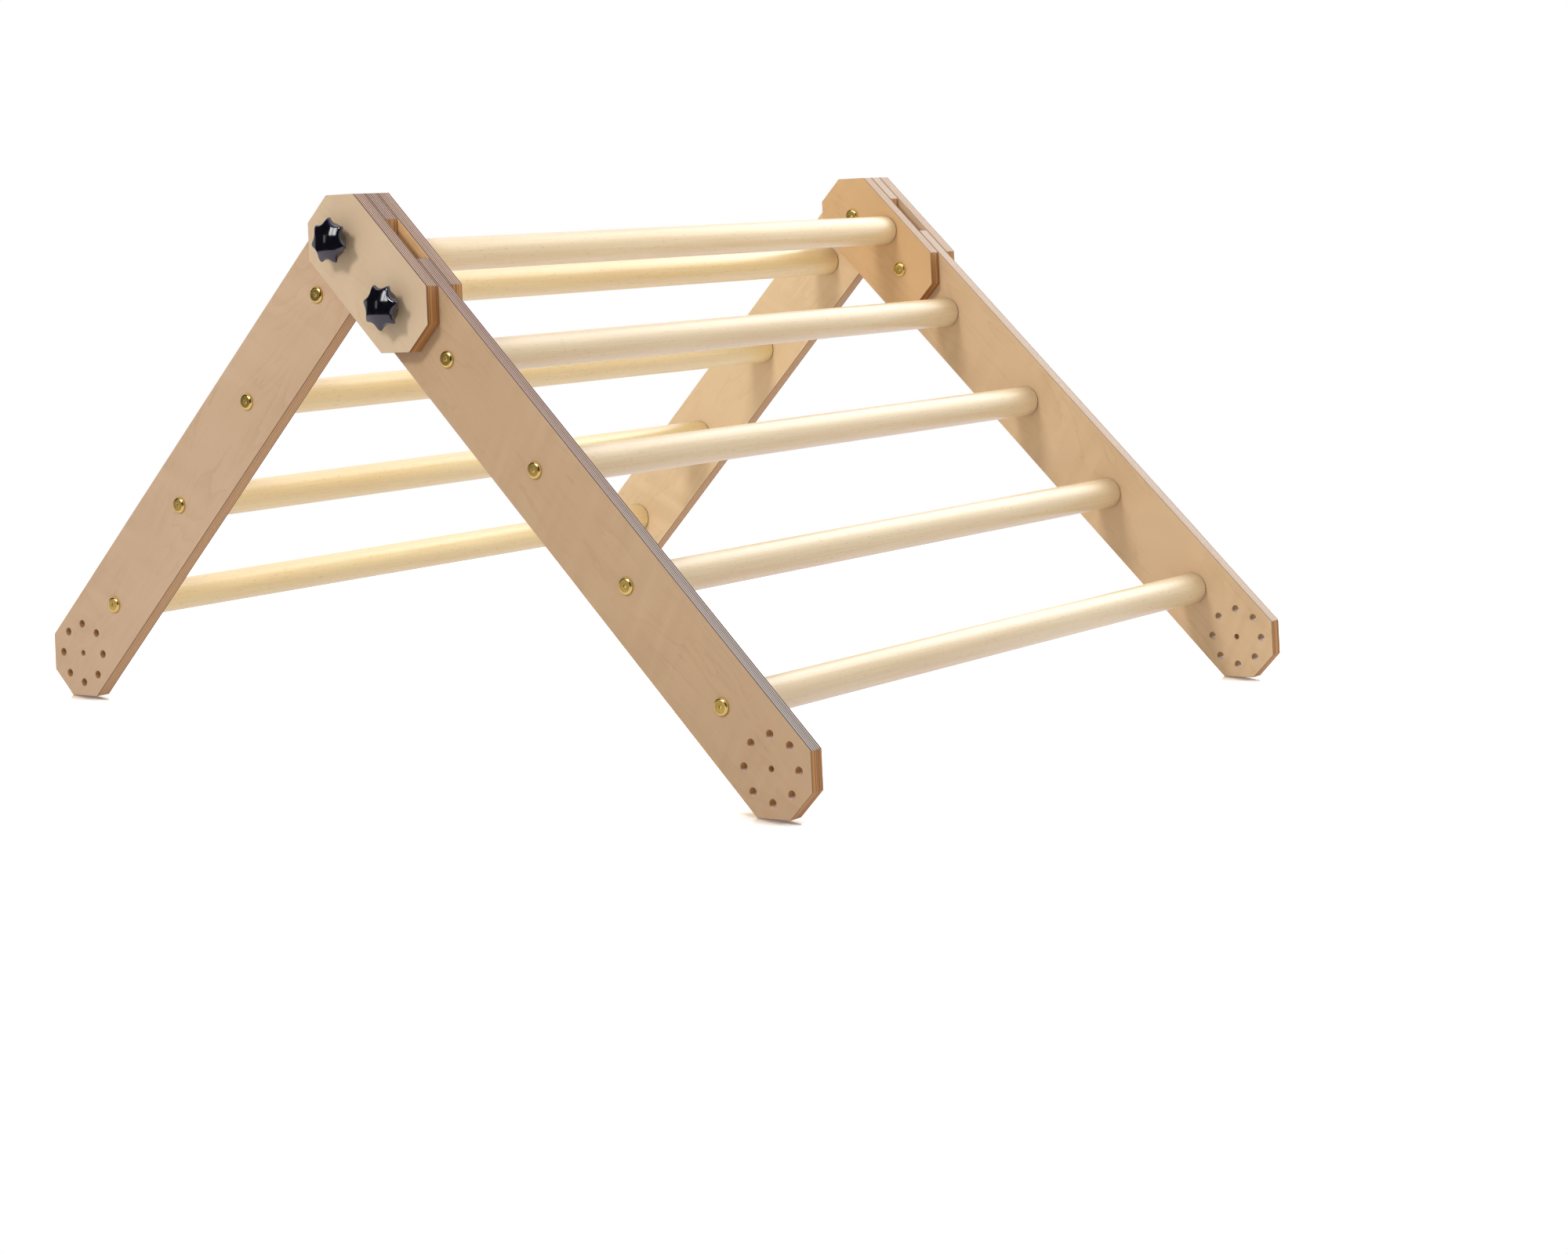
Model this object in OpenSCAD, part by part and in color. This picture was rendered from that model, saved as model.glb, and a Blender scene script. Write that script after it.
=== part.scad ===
// Folding climbing triangle: two ladders of birch plywood legs and round rungs, each hung on two
// pivot bolts of a connector bar, whose end plates clamp the eight-sided leg ends between them.
// X runs along the footprint, Y along the rungs and Z up. The origin lies on the floor under the
// middle of the footprint. The front ladder stands at +X, and the left side is the one at -Y.

/* [Ladders] */
// Clear width between the two legs of a ladder
inner_w = 896; // [600:1:1000]
// Distance from a leg's pivot hole to the middle of its foot
leg_reach = 640; // [630:5:760]
// Width of every board, and so of its eight-sided ends
leg_w = 96; // [90:1:106]
// Thickness of the plywood
ply_t = 18; // [15:0.5:21]
// Width of the eased edge round a board's two faces
edge_ease = 0.6; // [0.3:0.1:1]
// Diameter of the rungs
rung_d = 36; // [30:0.5:38]
// Bevel round the ends of a rung
rung_bevel = 0.8; // [0.4:0.1:1.2]

/* [Connector] */
// Gap that the corners of one leg keep from the other leg while it swings
swing_gap = 0.3; // [0.3:0.05:2]
// Height of the top rung's axis above the middle line of its plates
top_rung_rise = 21.5; // [18:0.5:26]

/* [Hole rings] */
// Diameter of each hole of a ring
ring_hole_d = 8.5; // [7:0.5:10]
// Wood left between a ring's holes and the sides of its board's end
ring_margin = 10.75; // [6:0.25:12]
// Depth of the blind rings in the inner plates
blind_depth = 8; // [4:0.5:12]

/* [Bolts and inserts] */
// Diameter of the bolts
bolt_d = 6; // [5:0.5:7]
// Radial clearance round a bolt in every hole that it passes through
bolt_clear = 0.1; // [0.05:0.01:0.1]
// Length of thread that a bolt has in an insert or a knob
thread_reach = 12; // [9:0.5:12.5]
// Bevel round a bolt's tip
tip_bevel = 0.8; // [0.4:0.1:1]
// Diameter of the wide bolt heads
head_d = 18; // [16:0.5:20]
// Height of the wide bolt heads
head_h = 3.2; // [2.6:0.1:4]
// Diameter of the flat middle of a wide head
head_flat_d = 12.6; // [10:0.2:15]
// Height of a wide head's straight rim
head_rim_h = 0.9; // [0.5:0.1:1.5]
// Width across the flats of the hexagon sockets
socket_af = 4; // [3:0.5:5]
// Depth of the hexagon sockets
socket_depth = 2; // [1.5:0.1:2.4]
// Diameter of the countersunk heads that hold the top rung
sunk_head_d = 12; // [11:0.5:13]
// How far a countersunk head lies below its plate's face
sunk_below = 0.3; // [0.1:0.1:0.6]
// Outer diameter of a threaded insert
insert_d = 10; // [9:0.5:11]
// Length of a threaded insert with its collar
insert_l = 13; // [13:0.5:16]
// Diameter of an insert's collar
collar_d = 12.5; // [12:0.5:14]
// Thickness of an insert's collar
collar_t = 1.2; // [0.8:0.1:2]
// Radial clearance round an insert, a bush or a countersunk head in its seat
seat_clear = 0.05; // [0.02:0.01:0.1]

/* [Star knobs] */
// Diameter over the lobes
knob_d = 50; // [46:1:56]
// Height of a knob from its foot to the middle of its face
knob_h = 24.5; // [23:0.5:28]
// Radius of the floor of a valley between two lobes, from the knob's axis
valley_floor_r = 19.5; // [18.5:0.5:20.5]
// Radius of the scoop that cuts a valley
valley_r = 14; // [11:0.5:16]
// Diameter of the foot that bears on the outer plate
knob_foot_d = 16; // [15:0.5:19]
// Height of the lobes' underside
lobe_under_h = 9.5; // [8:0.5:11]
// Diameter over the lobes at their underside
lobe_under_d = 38; // [37:0.5:42]
// Height at which the lobes are widest
lobe_wide_h = 17.5; // [16:0.5:19]
// Radius of the rim between a lobe's side and the face
lobe_rim_r = 2.8; // [1.5:0.1:3.4]
// Depth of the hollow ring in the back of a knob
knob_hollow_depth = 8; // [5:0.5:9]
// Width of the flat rim between the hollow ring and the rounding of the underside
knob_wall = 2.2; // [1.5:0.1:3]
// Diameter of the dimple in the middle of the face
dimple_d = 8; // [6:0.5:12]
// Depth of the dimple
dimple_depth = 0.7; // [0.4:0.1:1]
// Outer diameter of the threaded bush in a knob
bush_d = 10; // [9:0.5:12]
// Length of the threaded bush
bush_l = 13; // [13:0.5:15]
// How far the bush lies inside the knob's foot
bush_below = 0.2; // [0.1:0.1:0.5]

/* [Hidden] */
$fn = 72;
rungs = 4;
ring_holes = 8;
knob_lobes = 7;
arc_steps = 6;
sides = ["left", "right"];

// How far a cut runs past the surface that it opens
overrun = 1;

// Board ends are regular octagons, and two of them have room to turn past each other on the pivots
end_half = leg_w / 2;
end_flat_half = end_half * (sqrt(2) - 1);
ring_d = leg_w - 2 * ring_margin - ring_hole_d;
corner_r = norm([end_half, end_flat_half]);
pivot_pitch = corner_r + end_half + swing_gap;

// The front ladder runs on in line with the bar and the rear ladder square to it, so the bar leans
// until both feet touch the floor on a corner
lean = atan2(leg_reach, leg_reach + pivot_pitch);
foot_drop = max(end_half * cos(lean) + end_flat_half * sin(lean),
                end_half * sin(lean) + end_flat_half * cos(lean));
front_run = (leg_reach + pivot_pitch / 2) * cos(lean) + foot_drop;
rear_run = pivot_pitch / 2 * cos(lean) + leg_reach * sin(lean) + foot_drop;
bar_x = (rear_run - front_run) / 2;
bar_z = foot_drop + (leg_reach + pivot_pitch / 2) * sin(lean);

// The layers on each side, from the inside out: inner plate, leg, outer plate
inner_face_y = inner_w / 2 - ply_t;
leg_in_y = inner_w / 2;
leg_out_y = leg_in_y + ply_t;
outer_face_y = leg_out_y + ply_t;

// The rungs share out the leg evenly, with half a step left at the pivot and at the foot
rung_pitch = leg_reach / rungs;
rung_at = [for (k = [0:rungs - 1]) (k + 1 / 2) * rung_pitch];
hole_d = bolt_d + 2 * bolt_clear;
sunk_head_h = (sunk_head_d - bolt_d) / 2;
top_rung_l = 2 * inner_face_y;

// Turn of each knob, so that a lobe of the upper one points up and a lobe of the lower one down
knob_turns = [["front", 1, 90 - lean], ["rear", -1, -90 - lean]];

// Places. Inside the bar's frame X runs down towards the front foot and Z square to the plates' edge.

module in_bar() {
    translate([bar_x, 0, bar_z]) rotate([0, lean, 0]) children();
}

module in_ladder(end) {
    in_bar()
        translate([end == "front" ? pivot_pitch / 2 : -pivot_pitch / 2, 0, 0])
            rotate([0, end == "front" ? 0 : 90, 0])
                children();
}

module on_side(side) {
    mirror([0, side == "left" ? 1 : 0, 0]) children();
}

module head_outwards() {
    rotate([-90, 0, 0]) children();
}

module head_inwards() {
    rotate([90, 0, 0]) children();
}

// Boards

// Outline of a board whose two eight-sided ends are centred on 0 and on its length, drawn in from
// its edges by the inset
module board_outline(length, inset) {
    half = end_half - inset;
    flat = half * (sqrt(2) - 1);
    polygon([
        [-half, flat],
        [-flat, half],
        [length + flat, half],
        [length + half, flat],
        [length + half, -flat],
        [length + flat, -half],
        [-flat, -half],
        [-half, -flat]
    ]);
}

// A board standing on edge, its thickness from 0 outwards, with eased edges round both faces
module board(length) {
    translate([0, ply_t / 2, 0]) rotate([90, 0, 0]) hull() {
        linear_extrude(ply_t - 2 * edge_ease, center = true) board_outline(length, 0);
        linear_extrude(ply_t, center = true) board_outline(length, edge_ease);
    }
}

module hole_through(x, z, d) {
    translate([x, -overrun, z]) head_outwards() cylinder(d = d, h = ply_t + 2 * overrun);
}

// The holes of one ring round a pivot or foot centre, cut outwards from the depth given
module hole_ring(x, from_y) {
    for (k = [0:ring_holes - 1])
        translate([x, from_y, 0])
            rotate([0, k * 360 / ring_holes, 0])
                translate([ring_d / 2, 0, 0])
                    head_outwards()
                        cylinder(d = ring_hole_d, h = ply_t - from_y + overrun);
}

module leg() {
    color([0.80, 0.66, 0.51])
        difference() {
            board(leg_reach);
            for (x = [0, leg_reach]) {
                hole_ring(x, -overrun);
                hole_through(x, 0, hole_d);
            }
            for (x = rung_at)
                hole_through(x, 0, hole_d);
        }
}

module outer_plate() {
    color([0.83, 0.73, 0.57])
        translate([-pivot_pitch / 2, 0, 0])
            difference() {
                board(pivot_pitch);
                for (x = [0, pivot_pitch])
                    hole_through(x, 0, hole_d);
            }
}

module inner_plate() {
    color([0.81, 0.65, 0.45])
        difference() {
            translate([-pivot_pitch / 2, 0, 0])
                difference() {
                    board(pivot_pitch);
                    for (x = [0, pivot_pitch]) {
                        hole_ring(x, ply_t - blind_depth);
                        hole_through(x, 0, hole_d);
                    }
                }
            hole_through(0, top_rung_rise, hole_d);
            translate([0, ply_t - sunk_below, top_rung_rise]) head_outwards() sunk_seat();
        }
}

// Rungs, with a pocket for a threaded insert in each end

module dowel(length) {
    r = rung_d / 2;
    color([0.93, 0.85, 0.68])
        difference() {
            rotate([90, 0, 0]) rotate_extrude()
                polygon([
                    [0, -length / 2],
                    [r - rung_bevel, -length / 2],
                    [r, rung_bevel - length / 2],
                    [r, length / 2 - rung_bevel],
                    [r - rung_bevel, length / 2],
                    [0, length / 2]
                ]);
            for (side = sides)
                on_side(side)
                    translate([0, length / 2, 0])
                        head_inwards()
                            insert_pocket();
        }
}

module insert_pocket() {
    cylinder(d = insert_d + 2 * seat_clear, h = insert_l);
    translate([0, 0, -overrun])
        cylinder(d = collar_d + 2 * seat_clear, h = collar_t + overrun);
}

// A threaded insert reaching from its collar's face at 0 into the rung
module insert() {
    color([0.66, 0.62, 0.54])
        difference() {
            union() {
                cylinder(d = insert_d, h = insert_l);
                cylinder(d = collar_d, h = collar_t);
            }
            translate([0, 0, -overrun]) cylinder(d = hole_d, h = insert_l + 2 * overrun);
        }
}

// Bolts and screws, with the underside or the top of the head at 0 and the shank reaching down

module hex_socket(top) {
    translate([0, 0, top - socket_depth])
        cylinder(d = socket_af / cos(30), h = socket_depth + overrun, $fn = 6);
}

module wide_bolt(grip) {
    tip = -grip - thread_reach;
    shoulder = [for (k = [0:arc_steps]) let (a = k * 90 / arc_steps) [
        head_flat_d / 2 + (head_d - head_flat_d) / 2 * sin(a),
        head_rim_h + (head_h - head_rim_h) * cos(a)
    ]];
    color([0.74, 0.62, 0.30])
        difference() {
            rotate_extrude()
                polygon(concat([[0, head_h]], shoulder, [
                    [head_d / 2, 0],
                    [bolt_d / 2, 0],
                    [bolt_d / 2, tip + tip_bevel],
                    [bolt_d / 2 - tip_bevel, tip],
                    [0, tip]
                ]));
            hex_socket(head_h);
        }
}

module sunk_screw(grip) {
    tip = -grip - thread_reach;
    color([0.66, 0.62, 0.54])
        difference() {
            rotate_extrude()
                polygon([
                    [0, 0],
                    [sunk_head_d / 2, 0],
                    [bolt_d / 2, -sunk_head_h],
                    [bolt_d / 2, tip + tip_bevel],
                    [bolt_d / 2 - tip_bevel, tip],
                    [0, tip]
                ]);
            hex_socket(0);
        }
}

// The countersink that takes the screw's head, with its clearance
module sunk_seat() {
    r = sunk_head_d / 2 + seat_clear;
    rotate_extrude()
        polygon([
            [0, overrun],
            [r, overrun],
            [r, 0],
            [r - sunk_head_h, -sunk_head_h],
            [0, -sunk_head_h]
        ]);
}

module rung_bolts() {
    for (x = rung_at)
        translate([x, ply_t, 0]) head_outwards() wide_bolt(ply_t);
}

module rung_inserts() {
    for (x = rung_at)
        translate([x, 0, 0]) head_inwards() insert();
}

// A pivot bolt holds the whole stack from its head on the inner plate to the knob outside
module pivot_bolt() {
    head_inwards() wide_bolt(3 * ply_t);
}

// Star knobs, standing on their foot at 0

module knob_envelope() {
    rim_x = knob_d / 2 - lobe_rim_r;
    rim_turn = 65;
    rim = [for (k = [0:arc_steps]) let (a = k * rim_turn / arc_steps) [
        rim_x + lobe_rim_r * cos(a),
        lobe_wide_h + lobe_rim_r * sin(a)
    ]];
    face_r = rim[arc_steps][0];
    face_rise = knob_h - rim[arc_steps][1];
    face = [for (k = [arc_steps - 1:-1:0]) let (share = k / arc_steps) [
        face_r * share,
        knob_h - face_rise * share * share
    ]];
    rotate_extrude()
        polygon(concat([
            [0, lobe_under_h],
            [lobe_under_d / 2 - lobe_rim_r, lobe_under_h],
            [lobe_under_d / 2, lobe_under_h + lobe_rim_r]
        ], rim, face));
}

module lobed_outline() {
    difference() {
        circle(d = knob_d + 2 * overrun);
        for (k = [0:knob_lobes - 1])
            rotate((k + 1 / 2) * 360 / knob_lobes)
                translate([valley_floor_r + valley_r, 0])
                    circle(r = valley_r);
    }
}

module star_knob() {
    color([0.05, 0.05, 0.07])
        difference() {
            union() {
                intersection() {
                    knob_envelope();
                    linear_extrude(knob_h + overrun) lobed_outline();
                }
                cylinder(d = knob_foot_d, h = lobe_under_h + knob_hollow_depth + overrun);
            }
            translate([0, 0, lobe_under_h - overrun])
                difference() {
                    cylinder(r = lobe_under_d / 2 - lobe_rim_r - knob_wall, h = knob_hollow_depth + overrun);
                    translate([0, 0, -overrun])
                        cylinder(d = knob_foot_d, h = knob_hollow_depth + 3 * overrun);
                }
            translate([0, 0, -overrun])
                cylinder(d = bush_d + 2 * seat_clear, h = bush_l + bush_below + overrun);
            translate([0, 0, knob_h - dimple_depth])
                cylinder(d = dimple_d, h = dimple_depth + overrun);
        }
}

module knob_bush() {
    color([0.75, 0.62, 0.33])
        translate([0, 0, bush_below])
            difference() {
                cylinder(d = bush_d, h = bush_l);
                translate([0, 0, -overrun]) cylinder(d = hole_d, h = bush_l + 2 * overrun);
            }
}

// The assembly

for (end = ["front", "rear"], side = sides) {
    in_ladder(end) on_side(side) translate([0, leg_in_y, 0]) leg();
    in_ladder(end) on_side(side) translate([0, leg_in_y, 0]) rung_bolts();
    in_ladder(end) on_side(side) translate([0, leg_in_y, 0]) rung_inserts();
    in_ladder(end) on_side(side) translate([0, inner_face_y, 0]) pivot_bolt();
}

for (end = ["front", "rear"], k = [1:rungs])
    in_ladder(end) translate([rung_at[k - 1], 0, 0]) dowel(inner_w);

for (side = sides) {
    in_bar() on_side(side) translate([0, inner_face_y, 0]) inner_plate();
    in_bar() on_side(side) translate([0, leg_out_y, 0]) outer_plate();
}

for (knob = knob_turns, side = sides) {
    place = [knob[1] * pivot_pitch / 2, outer_face_y, 0];
    in_bar() on_side(side) translate(place) rotate([0, knob[2], 0]) head_outwards() star_knob();
    in_bar() on_side(side) translate(place) head_outwards() knob_bush();
}

in_bar() translate([0, 0, top_rung_rise]) dowel(top_rung_l);  // top_rung
in_bar() for (side = sides)  // top_rung_screws
        on_side(side) translate([0, leg_in_y - sunk_below, top_rung_rise])
            head_outwards() sunk_screw(ply_t - sunk_below);
in_bar() for (side = sides)  // top_rung_inserts
        on_side(side) translate([0, inner_face_y, top_rung_rise]) head_inwards() insert();
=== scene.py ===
import math

import bmesh
import bpy
from mathutils import Matrix, Vector


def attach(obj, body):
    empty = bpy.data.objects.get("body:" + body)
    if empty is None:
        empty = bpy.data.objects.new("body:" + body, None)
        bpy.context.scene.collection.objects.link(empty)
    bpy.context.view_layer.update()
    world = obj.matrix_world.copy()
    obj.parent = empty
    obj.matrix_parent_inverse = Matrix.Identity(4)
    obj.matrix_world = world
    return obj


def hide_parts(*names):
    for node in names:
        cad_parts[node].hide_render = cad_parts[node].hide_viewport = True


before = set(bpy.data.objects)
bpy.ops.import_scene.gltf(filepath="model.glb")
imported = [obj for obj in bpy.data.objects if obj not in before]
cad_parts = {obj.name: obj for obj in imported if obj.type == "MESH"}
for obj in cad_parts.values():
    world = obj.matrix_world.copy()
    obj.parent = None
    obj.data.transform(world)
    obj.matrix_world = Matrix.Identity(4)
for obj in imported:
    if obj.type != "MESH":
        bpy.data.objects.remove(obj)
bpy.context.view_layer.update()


# Inner plates
# The two inner plates of the connector bar are 18 mm birch plywood of thirteen plies, sawn with
# eight-sided ends, drilled and then sanded along every edge. Their outer faces have a blind ring of peg
# holes round each pivot bolt, and a countersunk screw through each of them holds the top rung.
leg_w = 0.096
leg_reach = 0.640
ply_t = 0.018
inner_w = 0.896
swing_gap = 0.0003
end_half = leg_w / 2
end_flat_half = end_half * (math.sqrt(2) - 1)
pivot_pitch = math.hypot(end_half, end_flat_half) + end_half + swing_gap
lean = math.atan2(leg_reach, leg_reach + pivot_pitch)
foot_drop = max(end_half * math.cos(lean) + end_flat_half * math.sin(lean),
                end_half * math.sin(lean) + end_flat_half * math.cos(lean))
front_run = (leg_reach + pivot_pitch / 2) * math.cos(lean) + foot_drop
rear_run = pivot_pitch / 2 * math.cos(lean) + leg_reach * math.sin(lean) + foot_drop
bar_z = foot_drop + (leg_reach + pivot_pitch / 2) * math.sin(lean)
bar = Matrix.Translation(((rear_run - front_run) / 2, 0, bar_z)) @ Matrix.Rotation(lean, 4, "Y")
front_pivot = bar @ Matrix.Translation((pivot_pitch / 2, 0, 0))
rear_pivot = bar @ Matrix.Translation((-pivot_pitch / 2, 0, 0)) @ Matrix.Rotation(math.radians(90), 4, "Y")
inner_face = inner_w / 2 - ply_t
leg_in = inner_w / 2
leg_out = leg_in + ply_t
outer_face = leg_out + ply_t
sides = {"left": -1, "right": 1}

hole_r = 0.0031
ring_holes = 8
ring_hole_r = 0.00425
ring_margin = 0.01075
blind_depth = 0.008
top_rung_rise = 0.0215
sunk_head_r = 0.00605
sunk_head_h = 0.003
sunk_below = 0.0003


def layer(holder, side, depth):
    """Places a piece at that distance out from the middle, on the left or right of what holds it."""
    return holder @ Matrix.Diagonal((1, sides[side], 1, 1)) @ Matrix.Translation((0, depth, 0))


def wire(tree, kind, sockets=None, **settings):
    """Adds a node, sets its options, and fills its sockets with values or with links."""
    made = tree.nodes.new(kind)
    for name, value in settings.items():
        setattr(made, name, value)
    for key, value in (sockets or {}).items():
        if isinstance(value, bpy.types.NodeSocket):
            tree.links.new(value, made.inputs[key])
        else:
            made.inputs[key].default_value = value
    return made


def sum_up(tree, operation, *terms, clamp=False):
    """One step of arithmetic on numbers and sockets."""
    step = wire(tree, "ShaderNodeMath", dict(enumerate(terms)), operation=operation, use_clamp=clamp)
    return step.outputs[0]


def plus(tree, one, other, clamp=False):
    return sum_up(tree, "ADD", one, other, clamp=clamp)


def minus(tree, one, other, clamp=False):
    return sum_up(tree, "SUBTRACT", one, other, clamp=clamp)


def product(tree, one, other, clamp=False):
    return sum_up(tree, "MULTIPLY", one, other, clamp=clamp)


def ports(tree, taken, given):
    """Names what a tree takes and gives, and returns its ends."""
    for name, kind, value in taken:
        socket = tree.interface.new_socket(name, in_out="INPUT", socket_type="NodeSocket" + kind)
        if value is not None:
            socket.default_value = value
    for name, kind in given:
        tree.interface.new_socket(name, in_out="OUTPUT", socket_type="NodeSocket" + kind)
    return tree.nodes.new("NodeGroupInput").outputs, tree.nodes.new("NodeGroupOutput").inputs


def spot(tree, x=0.0, y=0.0, z=0.0):
    """A vector, made of numbers and sockets."""
    return wire(tree, "ShaderNodeCombineXYZ", {0: x, 1: y, 2: z}).outputs[0]


def parted(tree, vector):
    """The three numbers of a vector."""
    return wire(tree, "ShaderNodeSeparateXYZ", {0: vector}).outputs


board = bpy.data.node_groups.new("board", "GeometryNodeTree")
size, shape = ports(board, [
    ("Reach", "Float", leg_reach), ("Width", "Float", leg_w), ("Thickness", "Float", ply_t),
    ("Bolt Hole", "Float", hole_r), ("Rings", "Bool", True), ("Ring Hole", "Float", ring_hole_r),
    ("Ring Margin", "Float", ring_margin), ("Ring Depth", "Float", ply_t), ("Rung Holes", "Int", 0),
    ("Rung Pitch", "Float", 0.16), ("Other Cut", "Object", None), ("Finish", "Material", None)],
    [("Board", "Geometry")])
half_width = product(board, size["Width"], 0.5)
overrun = 0.001
corner_share = 2 - math.sqrt(2)
merge_within = 1e-6
bolt_hole_steps, ring_hole_steps = 36, 48
bolt_hole_mark, ring_hole_mark = 0.5, 1.0
blank = wire(board, "GeometryNodeCurvePrimitiveQuadrilateral", {
    "Width": plus(board, size["Reach"], size["Width"]), "Height": size["Width"]}, mode="RECTANGLE")
sawn = wire(board, "GeometryNodeFilletCurve", {
    "Curve": blank.outputs[0], "Count": 1,
    "Radius": product(board, half_width, corner_share)}, mode="POLY")
laid = wire(board, "GeometryNodeTransform", {
    "Geometry": sawn.outputs[0],
    "Translation": spot(board, product(board, size["Reach"], 0.5))})
face = wire(board, "GeometryNodeFillCurve", {"Curve": laid.outputs[0]}, mode="NGONS")
thick = wire(board, "GeometryNodeExtrudeMesh", {
    "Mesh": face.outputs[0], "Offset Scale": size["Thickness"], "Individual": False}, mode="FACES")
back = wire(board, "GeometryNodeFlipFaces", {"Mesh": face.outputs[0]})
both = wire(board, "GeometryNodeJoinGeometry")
for part in (thick, back):
    board.links.new(part.outputs[0], both.inputs[0])
slab = wire(board, "GeometryNodeMergeByDistance", {"Geometry": both.outputs[0], "Distance": merge_within})
ends = wire(board, "GeometryNodeMeshLine", {"Count": 2, "Offset": spot(board, size["Reach"])})
steps = wire(board, "GeometryNodeMeshLine", {
    "Count": size["Rung Holes"], "Offset": spot(board, size["Rung Pitch"]),
    "Start Location": spot(board, product(board, size["Rung Pitch"], 0.5))})
drill = wire(board, "GeometryNodeMeshCylinder", {
    "Vertices": bolt_hole_steps, "Radius": size["Bolt Hole"],
    "Depth": plus(board, size["Thickness"], 2 * overrun)}, fill_type="NGON")
drill_mark = wire(board, "GeometryNodeStoreNamedAttribute", {
    "Geometry": drill.outputs[0], "Name": "bored", "Value": bolt_hole_mark}, data_type="FLOAT", domain="FACE")
drill_up = wire(board, "GeometryNodeTransform", {
    "Geometry": drill_mark.outputs[0],
    "Translation": spot(board, z=product(board, size["Thickness"], 0.5))})
peg_depth = plus(board, size["Ring Depth"], overrun)
peg = wire(board, "GeometryNodeMeshCylinder", {
    "Vertices": ring_hole_steps, "Radius": size["Ring Hole"], "Depth": peg_depth}, fill_type="NGON")
peg_top = plus(board, size["Thickness"], overrun)
peg_mark = wire(board, "GeometryNodeStoreNamedAttribute", {
    "Geometry": peg.outputs[0], "Name": "bored", "Value": ring_hole_mark}, data_type="FLOAT", domain="FACE")
peg_up = wire(board, "GeometryNodeTransform", {
    "Geometry": peg_mark.outputs[0],
    "Translation": spot(board, z=minus(board, peg_top, product(board, peg_depth, 0.5)))})
circle = wire(board, "GeometryNodeMeshCircle", {
    "Vertices": ring_holes,
    "Radius": minus(board, minus(board, half_width, size["Ring Margin"]), size["Ring Hole"])})
ring = wire(board, "GeometryNodeInstanceOnPoints", {
    "Points": circle.outputs[0], "Instance": peg_up.outputs[0]})
rings = wire(board, "GeometryNodeInstanceOnPoints", {
    "Points": ends.outputs[0], "Instance": ring.outputs[0]})
wanted = wire(board, "GeometryNodeSwitch", {
    "Switch": size["Rings"], "True": rings.outputs[0]}, input_type="GEOMETRY")
other = wire(board, "GeometryNodeObjectInfo", {"Object": size["Other Cut"]})
cutters = wire(board, "GeometryNodeJoinGeometry")
for points in (ends, steps):
    bored = wire(board, "GeometryNodeInstanceOnPoints", {
        "Points": points.outputs[0], "Instance": drill_up.outputs[0]})
    board.links.new(bored.outputs[0], cutters.inputs[0])
board.links.new(wanted.outputs[0], cutters.inputs[0])
board.links.new(other.outputs["Geometry"], cutters.inputs[0])
whole = wire(board, "GeometryNodeRealizeInstances", {"Geometry": cutters.outputs[0]})
drilled = wire(board, "GeometryNodeMeshBoolean", {
    "Mesh 1": slab.outputs[0]}, operation="DIFFERENCE", solver="EXACT")
board.links.new(whole.outputs[0], drilled.inputs["Mesh 2"])
stood = wire(board, "GeometryNodeTransform", {
    "Geometry": drilled.outputs[0], "Rotation": (math.radians(-90), 0, 0)})
real = wire(board, "GeometryNodeRealizeInstances", {"Geometry": stood.outputs[0]})
dressed = wire(board, "GeometryNodeSetMaterial", {"Geometry": real.outputs[0], "Material": size["Finish"]})
board.links.new(dressed.outputs[0], shape[0])


edge_ease = 0.0007
ease_steps = 3
ease_from = math.radians(30)


def grown(name, tree, sizes, place, ease=0.0):
    """The plain mesh that a tree makes with these sizes, eased along its edges and put in its place."""
    piece = bpy.data.objects.new(name, bpy.data.meshes.new(name))
    bpy.context.scene.collection.objects.link(piece)
    growth = piece.modifiers.new("growth", "NODES")
    growth.node_group = tree
    for socket in tree.interface.items_tree:
        if socket.in_out == "INPUT" and socket.name in sizes:
            growth[socket.identifier] = sizes[socket.name]
    if ease:
        rounding = piece.modifiers.new("eased edges", "BEVEL")
        rounding.width = ease
        rounding.segments = ease_steps
        rounding.limit_method = "ANGLE"
        rounding.angle_limit = ease_from
        rounding.use_clamp_overlap = False
    bpy.context.view_layer.update()
    seen = piece.evaluated_get(bpy.context.evaluated_depsgraph_get())
    mesh = bpy.data.meshes.new_from_object(seen)
    piece.modifiers.clear()
    piece.data = mesh
    mesh.transform(place)
    if place.determinant() < 0:
        mesh.flip_normals()
    return piece


def eased_board(name, sizes, place):
    """A board whose wide faces stay flat in the light, while its holes and eased edges are smooth."""
    piece = grown(name, board, sizes, place, edge_ease)
    out = place.to_3x3().col[1].normalized()
    widest_strip, level = 1e-4, 0.9999
    for polygon in piece.data.polygons:
        polygon.use_smooth = polygon.area < widest_strip and abs(polygon.normal.dot(out)) < level
    return piece


def turned(name, profile, steps=48):
    """A closed mesh turned round Z from (radius, height) pairs; a pair with a third word has six flats."""
    flat_turn = math.radians(60)
    points, rows = [], []
    for radius, height, *flats in profile:
        count = steps if radius > 0 else 1
        rows.append(range(len(points), len(points) + count))
        for k in range(count):
            turn = 2 * math.pi * k / steps
            reach = radius
            if flats:
                reach = radius / math.cos(turn % flat_turn - flat_turn / 2)
            points.append((reach * math.cos(turn), reach * math.sin(turn), height))
    return closed_mesh(name, points, rows, steps, sharp_from=35)


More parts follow.
